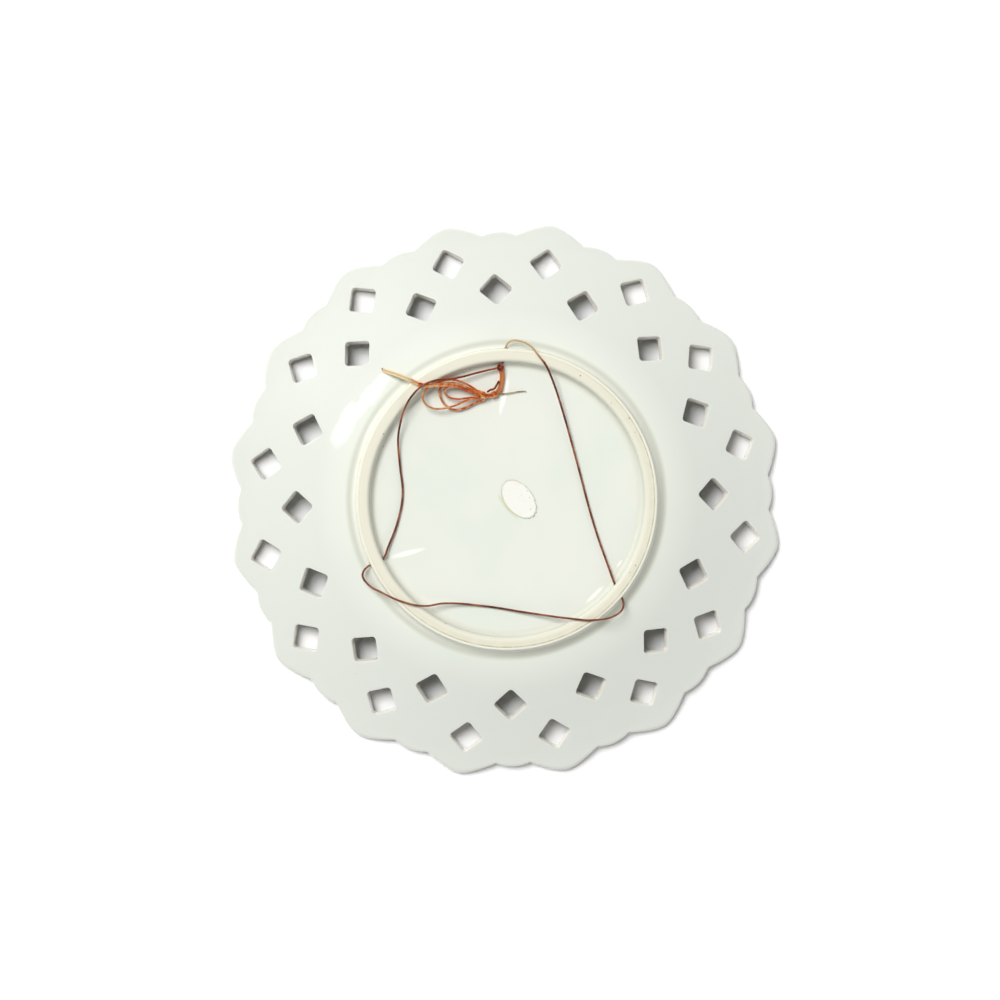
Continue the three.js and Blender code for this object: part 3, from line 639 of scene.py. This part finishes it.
# Slow clouds, 30 mm across, where the glaze lies thicker or thinner, and the rim made a little darker and greyer all
# round.
clouds = put(tree, NOISE, {"Vector": place, "Scale": 1 / (30 * MM), "Detail": 2.0})
cloud_tone = put(tree, RANGE, [clouds, 0.35, 0.65])
colour = put(tree, MIX, [cloud_tone, linear("#dadfd5"), linear("#dfe1d7")], data_type="RGBA")
on_rim = put(tree, RANGE, [radius, 66 * MM, 82 * MM])
colour = put(tree, MIX, [on_rim, colour, linear("#d4d7cf")], data_type="RGBA")
# The glaze runs thin and cream over the foot ring, and fades out on both sides.
inside = put(tree, RANGE, [radius, 54.8 * MM, 58.2 * MM])
outside = put(tree, RANGE, [radius, 66.2 * MM, 63 * MM])
ring = put(tree, MATHS, [inside, outside], operation="MULTIPLY")
colour = put(tree, MIX, [ring, colour, linear("#dddbc9")], data_type="RGBA")
# Painted shade: darker, greyer bands in the corner inside the ring and in the hollow outside it.
for shade_radius, shade_edge, tone in ((57.6, 2.2, "#d2d4c7"), (66.9, 2.0, "#c5c7b9")):
    off_shade_band = put(tree, MATHS, [put(tree, MATHS, [radius, shade_radius * MM], operation="SUBTRACT")],
                   operation="ABSOLUTE")
    painted_corner_shade = put(tree, RANGE, [off_shade_band, shade_edge * MM, 0.4 * MM, 0, 0.9])
    colour = put(tree, MIX, [painted_corner_shade, colour, linear(tone)], data_type="RGBA")
# Painted light: the walls and edges of the piercings, steep faces, are painted lighter and creamier to stand in for
# light that falls on them.
lean = put(tree, MATHS, [put(tree, SPLIT, [coordinates["Normal"]]).outputs["Z"]], operation="ABSOLUTE")
painted_wall_light = put(tree, RANGE, [lean, 0.55, 0.3])
painted_wall_light = put(tree, MATHS, [painted_wall_light, on_rim], operation="MULTIPLY")
colour = put(tree, MIX, [painted_wall_light, colour, linear("#eeeadf")], data_type="RGBA")
# Painted highlights, as white streaks beside the wire holes and in the hollow outside the ring, and a painted
# contact shadow, a yellow-olive line along the label's lower left side: place, turn and half sizes in mm, colour and
# share.
PAINTED_HIGHLIGHT, PAINTED_CONTACT_SHADOW = "#f7f9f3", "#c9caa0"
PAINTED_STREAKS = [(-1.2, 44.4, 78, 9.4, 1.3, PAINTED_HIGHLIGHT, 0.8), (-42.5, -22.8, 15, 7.4, 1.2, PAINTED_HIGHLIGHT, 0.7),
        (37.3, -40.6, 44, 6.0, 1.0, PAINTED_HIGHLIGHT, 0.7), (47.9, -27.3, 51, 2.2, 0.6, PAINTED_HIGHLIGHT, 0.7),
        (-57.6, 44.4, 52, 15.0, 3.4, PAINTED_HIGHLIGHT, 0.65), (-69.0, 31.0, 66, 11.0, 4.2, PAINTED_HIGHLIGHT, 0.65),
        (0.65, -3.45, -51, 7.5, 1.4, PAINTED_CONTACT_SHADOW, 0.7)]
ragged = put(tree, NOISE, {"Vector": place, "Scale": 1 / (6 * MM), "Detail": 2.0})
for x, y, streak_turn, half_long, half_wide, tone, share in PAINTED_STREAKS:
    in_streak = put(tree, "ShaderNodeMapping", {"Vector": level, "Location": (x * MM, y * MM, 0),
                 "Rotation": (0, 0, math.radians(streak_turn)), "Scale": (half_long * MM, half_wide * MM, 1)},
                 vector_type="TEXTURE")
    from_streak = put(tree, VECTORS, [in_streak], operation="LENGTH")
    uneven = put(tree, MATHS, [ragged, 0.9, from_streak], operation="MULTIPLY_ADD")
    in_it = put(tree, RANGE, [uneven, 1.5, 1.0, 0, share])
    colour = put(tree, MIX, [in_it, colour, linear(tone)], data_type="RGBA")
# The crest is rubbed a little greyer. Along its outer edge a dark line and, beyond it, a pale line are painted,
# strongest on the side that faces +X and -Y, away from the main light: the dark line is painted shade and the pale
# line a painted highlight.
rubbed = put(tree, RANGE, [height_here, (CREST - 0.3) * MM, (CREST - 0.02) * MM])
fine = put(tree, NOISE, {"Vector": place, "Scale": 1 / (4 * MM), "Detail": 3.0})
patchy = put(tree, RANGE, [fine, 0.35, 0.65, 0.4])
to_unlit_side = put(tree, VECTORS, [place, (0.7, -0.7, 0)], operation="DOT_PRODUCT")
unlit_side = put(tree, RANGE, [to_unlit_side, -30 * MM, 25 * MM, 0.12])
patchy = put(tree, MATHS, [patchy, unlit_side], operation="MULTIPLY")
on_crest = put(tree, RANGE, [height_here, 22.4 * MM, 22.9 * MM])
CREST_LINES = [(61.2, 1.2, 0.2, "#b3ab8a"), (62.5, 0.4, 0.75, "#a09878"), (63.15, 0.35, 0.7, "#faf9ee")]
for middle_of_line, half, share, tone in CREST_LINES:
    off_line = put(tree, MATHS, [put(tree, MATHS, [radius, middle_of_line * MM], operation="SUBTRACT")],
                   operation="ABSOLUTE")
    on_line = put(tree, RANGE, [off_line, half * MM, half * MM / 3, 0, share])
    painted_line = put(tree, MATHS, [put(tree, MATHS, [on_line, patchy], operation="MULTIPLY"), on_crest],
                 operation="MULTIPLY")
    colour = put(tree, MIX, [painted_line, colour, linear(tone)], data_type="RGBA")
# Brown specks, some 0.4 mm across, thinly strewn over the ring.
cells = put(tree, "ShaderNodeTexVoronoi", {"Vector": place, "Scale": 1 / (2.6 * MM)}, feature="F1")
speck = put(tree, RANGE, [cells, 0.14, 0.08])
rare = put(tree, "ShaderNodeSeparateColor", [cells.outputs["Color"]])
chosen = put(tree, MATHS, [rare, 0.86], operation="GREATER_THAN")
specks = put(tree, MATHS, [put(tree, MATHS, [speck, chosen], operation="MULTIPLY"), ring], operation="MULTIPLY")
colour = put(tree, MIX, [specks, colour, linear("#8a6f55")], data_type="RGBA")
# The worn line along the crest, and the glaze's own soft ripple, 6 mm long and 0.015 mm deep.
rough = put(tree, RANGE, [rubbed, 0, 1, 0.16, 0.45])
ripple = put(tree, NOISE, {"Vector": place, "Scale": 1 / (6 * MM), "Detail": 1.0})
bump = put(tree, "ShaderNodeBump", {"Height": ripple, "Strength": 0.5, "Distance": 0.03 * MM})
feed(tree, shader, {"Base Color": colour, "Roughness": rough, "Normal": bump, "IOR": 1.5, "Coat Weight": 0.3,
     "Coat Roughness": 0.05})
plate.data.materials.clear()
plate.data.materials.append(glaze)
print("glaze nodes:", len(tree.nodes))

# %% [markdown]
# ## The label
# A small oval of white paper, stuck on long ago. Its edge is worn and slightly ragged, most at the lower right end,
# and it lifts a little there. It is blank. A thin closed sheet is made from rings of points around an oval.

# %% The label
LABEL_AT = Vector((5.1, 0.2))
LABEL_LENGTH, LABEL_WIDTH, LABEL_TURN, LABEL_THICKNESS = 19.1, 11.9, math.radians(-51.0), 0.25
AROUND, RINGS = 120, 10
GUM, CURL, CURL_FROM, EDGE_DROP = 0.05, 0.22, 0.75, 0.05


def label_edge(angle):
    """How far the worn edge is from a clean oval's, as a share: smooth dents, and small nicks at one end."""
    worn_end = max(0.0, math.cos(angle)) ** 3
    nicks = 0.03 * math.sin(19 * angle + 0.7) + 0.02 * math.sin(37 * angle + 2.1)
    return 1 + 0.006 * math.sin(5 * angle + 1) + 0.005 * math.sin(11 * angle) + worn_end * (nicks - 0.02)


label_shell = bmesh.new()
layers = []
for top in (False, True):
    rings = []
    for ring_number in range(RINGS + 1):
        out = 1 - (1 - ring_number / RINGS) ** 1.6
        ring_points = []
        for i in range(AROUND):
            angle = 2 * math.pi * i / AROUND
            scale = out * label_edge(angle)
            x, y = LABEL_LENGTH / 2 * scale * math.cos(angle), LABEL_WIDTH / 2 * scale * math.sin(angle)
            curl = CURL * max(0.0, out - CURL_FROM) / (1 - CURL_FROM) * max(0.0, math.cos(angle)) ** 4
            height = FLOOR + GUM + curl + (LABEL_THICKNESS - EDGE_DROP * out ** 8 if top else 0)
            spot = LABEL_AT + Matrix.Rotation(LABEL_TURN, 2) @ Vector((x, y))
            ring_points.append(label_shell.verts.new((spot.x * MM, spot.y * MM, height * MM)))
        rings.append(ring_points)
    layers.append(rings)
for rings in layers:
    for inner_ring, outer_ring in zip(rings, rings[1:]):
        for i in range(AROUND):
            j = (i + 1) % AROUND
            label_shell.faces.new((inner_ring[i], outer_ring[i], outer_ring[j], inner_ring[j]))
for i in range(AROUND):
    j = (i + 1) % AROUND
    label_shell.faces.new((layers[0][-1][i], layers[0][-1][j], layers[1][-1][j], layers[1][-1][i]))
bmesh.ops.remove_doubles(label_shell, verts=label_shell.verts, dist=0.001 * MM)
bmesh.ops.recalc_face_normals(label_shell, faces=label_shell.faces)
label_mesh = bpy.data.meshes.new("worn_label")
label_shell.to_mesh(label_mesh)
label_shell.free()
label_mesh.shade_smooth()
label_mesh.set_sharp_from_angle(angle=math.radians(40))
label = add_object("worn_label", label_mesh)
print("label:", len(label_mesh.polygons), "faces")

# %% The label's material
paper = bpy.data.materials.new("gummed_paper_worn")
paper.use_nodes = True
tree = paper.node_tree
shader = tree.nodes["Principled BSDF"]
place = put(tree, "ShaderNodeTexCoord").outputs["Object"]
centre_it = put(tree, "ShaderNodeMapping", {"Vector": place, "Location": (LABEL_AT.x * MM, LABEL_AT.y * MM, 0),
                "Rotation": (0, 0, LABEL_TURN)}, vector_type="TEXTURE")
stretched = put(tree, VECTORS, [centre_it, (2 / MM / LABEL_LENGTH, 2 / MM / LABEL_WIDTH, 0)], operation="MULTIPLY")
out = put(tree, VECTORS, [stretched], operation="LENGTH")
fibres = put(tree, NOISE, {"Vector": place, "Scale": 1 / (0.5 * MM), "Detail": 4.0})
uneven = put(tree, MATHS, [fibres, 0.16, out], operation="MULTIPLY_ADD")
edge = put(tree, RANGE, [uneven, 0.99, 1.07])
stain = put(tree, NOISE, {"Vector": place, "Scale": 1 / (5 * MM), "Detail": 2.0})
stained = put(tree, RANGE, [stain, 0.45, 0.75, 0, 0.6])
clean = put(tree, MIX, [stained, linear("#e4e4dd"), linear("#e2ddcb")], data_type="RGBA")
aged = put(tree, MIX, [edge, clean, linear("#bdbaae")], data_type="RGBA")
# A few grey specks of dust in the gum, 0.5 mm across, on the side that faces +X.
dust = put(tree, "ShaderNodeTexVoronoi", {"Vector": place, "Scale": 1 / (1.7 * MM)}, feature="F1")
speck = put(tree, RANGE, [dust, 0.2, 0.12])
right_side = put(tree, RANGE, [put(tree, SPLIT, [place]).outputs["X"], 4 * MM, 9 * MM, 0, 0.7])
dusty = put(tree, MATHS, [speck, right_side], operation="MULTIPLY")
aged = put(tree, MIX, [dusty, aged, linear("#a5a294")], data_type="RGBA")
bump = put(tree, "ShaderNodeBump", {"Height": fibres, "Strength": 0.4, "Distance": 0.05 * MM})
feed(tree, shader, {"Base Color": aged, "Roughness": 0.85, "Normal": bump})
label.data.materials.append(paper)
print("paper nodes:", len(tree.nodes))

# %% [markdown]
# ## The knots
# Each knot is the wire bound tightly round its neighbours, which a short helix of wire gives. A stub of wire is left
# standing between the two, and a thinner short end sticks out of the lower one.

# %% The knots
STEPS_A_TURN = 12


def binding(name, centre, axis, radius, turns, material):
    """Wire wound round a short axis, as a mesh."""
    axis = Vector(axis).normalized()
    side_way = axis.orthogonal().normalized()
    other = axis.cross(side_way)
    points = []
    steps = round(STEPS_A_TURN * turns)
    for i in range(steps + 1):
        angle = 2 * math.pi * i / STEPS_A_TURN
        along_axis = (i / steps - 0.5) * turns * WIRE_DIAMETER * 0.95
        points.append(Vector(centre) + axis * along_axis
                      + (side_way * math.cos(angle) + other * math.sin(angle)) * radius)
    bound = wire(name, points, WIRE_DIAMETER, material)
    bound.data.resolution_u = 2
    return plain(bound)


upper = binding("upper_binding", UPPER_KNOT, (0.15, 0.35, 1), 1.05, 1.8, dark_copper)
lower = binding("lower_binding", LOWER_KNOT, (1, 0.5, 0), 1.0, 2.4, bright_copper)
STUB = [(-8.4, 45.6, 22.0), (-7.0, 46.5, 22.6), (-5.6, 46.9, 22.8), (-4.6, 48.3, 22.4), (-3.5, 50.2, 21.9)]
SHORT_END = [(-4.6, 44.8, 21.0), (-1.5, 45.0, 20.5), (1.5, 45.3, 20.4), (5.0, 45.9, 20.3), (8.1, 46.1, 20.3)]
stub = wire("knot_stub", STUB, WIRE_DIAMETER, dark_copper)
short = wire("short_end_wire", SHORT_END, 0.7, pale_copper, 0.45)
stub, short = plain(stub), plain(short)
print("knots made")

# %% [markdown]
# ## Floor and light
# A plain pale floor, one large soft light from the upper left, 58 degrees up, a small one beside it that glints on
# the glaze, a weak one low on the other side, and walls that shine most at their foot.

# %% Floor and light
bpy.ops.mesh.primitive_plane_add(size=6.0, location=(0, 0, 0))
floor = bpy.context.object
floor.name = "floor"
floor_paint = bpy.data.materials.new("matt_white_board")
floor_paint.use_nodes = True
tree = floor_paint.node_tree
feed(tree, tree.nodes["Principled BSDF"], {"Base Color": linear("#f3f3f3"), "Roughness": 0.9})
floor.data.materials.append(floor_paint)


def softbox(name, bearing, rise, away, size, power):
    """A round soft light that looks at the plate's middle, by its compass bearing and its rise in degrees."""
    data = bpy.data.lights.new(name, "AREA")
    data.shape, data.size, data.energy = "DISK", size, power
    lamp = add_object(name, data)
    level = away * math.cos(math.radians(rise))
    at = Vector((level * math.cos(math.radians(bearing)), level * math.sin(math.radians(bearing)),
                 away * math.sin(math.radians(rise))))
    lamp.matrix_world = Matrix.Translation(at) @ (-at).to_track_quat("-Z", "Y").to_matrix().to_4x4()
    return lamp


main_light = softbox("main_light", 135, 58, 4.0, 2.3, 179.0)
softbox("glint_light", 150, 36, 1.8, 0.45, 2.0)
fill_light = softbox("fill_light", -40, 27, 2.4, 1.6, 12.0)
main_light.visible_glossy = fill_light.visible_glossy = False
world = bpy.data.worlds.new("studio_walls")
world.use_nodes = True
tree = world.node_tree
direction = put(tree, "ShaderNodeTexCoord").outputs["Generated"]
up_share = put(tree, SPLIT, [direction]).outputs["Z"]
wall_light = put(tree, RANGE, [up_share, 0.0, 1.0, 0.72, 0.0])
feed(tree, tree.nodes["Background"], {"Color": linear("#ffffff"), "Strength": wall_light})
bpy.context.scene.world = world
bpy.context.scene.view_settings.view_transform = "Standard"
print("lights ready")

# %% [markdown]
# ## Hand everything to the frame
# Each piece rides on the plate's one body, and the imported nodes that the pieces stand for are hidden.

# %% Ride and replace
for piece in (plate, label, loop, hank, second_end, upper, lower, stub, short):
    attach(piece, "root")
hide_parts("plate")
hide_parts("oval_sticker")
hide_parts("hanging_wire", "wire_pair")
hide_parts("wire_hank", "long_end")
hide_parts("upper_knot")
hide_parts("lower_knot")
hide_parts("short_end")
